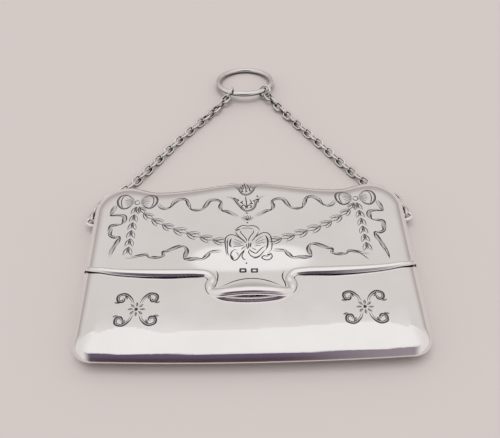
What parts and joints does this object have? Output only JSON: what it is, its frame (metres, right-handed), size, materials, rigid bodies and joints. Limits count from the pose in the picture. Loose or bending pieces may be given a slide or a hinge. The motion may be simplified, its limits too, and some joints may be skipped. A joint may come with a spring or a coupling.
{
  "type": "card case with a finger-ring chain",
  "caption": "Silver card case of envelope form lying on its back, with a hinged lid, an engraved front and a finger ring on two chains.",
  "frame": {"origin": "on the case's flat back, in the middle of its width, on the surface it lies on", "axes": "+X across the case to its right, +Y along it towards its top edge and the chain, +Z out of its front"},
  "size_m": [0.1058, 0.1467, 0.0145],
  "materials": {
    "case_silver": "polished silver with fine scratches",
    "lid_silver": "polished silver, bright-cut engraving",
    "hinge_silver": "worn silver",
    "chain_silver": "worn silver, dark between the links",
    "ring_silver": "worn polished silver"
  },
  "bodies": {
    "case": {"case_body": "case_silver", "hinge_pin": "hinge_silver", "side_ring_left": "chain_silver", "side_ring_right": "chain_silver", "chain_left": "chain_silver", "chain_right": "chain_silver", "ring_link_left": "chain_silver", "ring_link_right": "chain_silver", "finger_ring": "ring_silver"},
    "lid": {"lid": "lid_silver"}
  },
  "joints": [
    {"name": "lid_hinge", "type": "hinge", "parent": "case", "child": "lid", "pos_m": [0, 0.0323, 0.0062], "axis": [-1, 0, 0], "range_deg": [0, 105]}
  ]
}
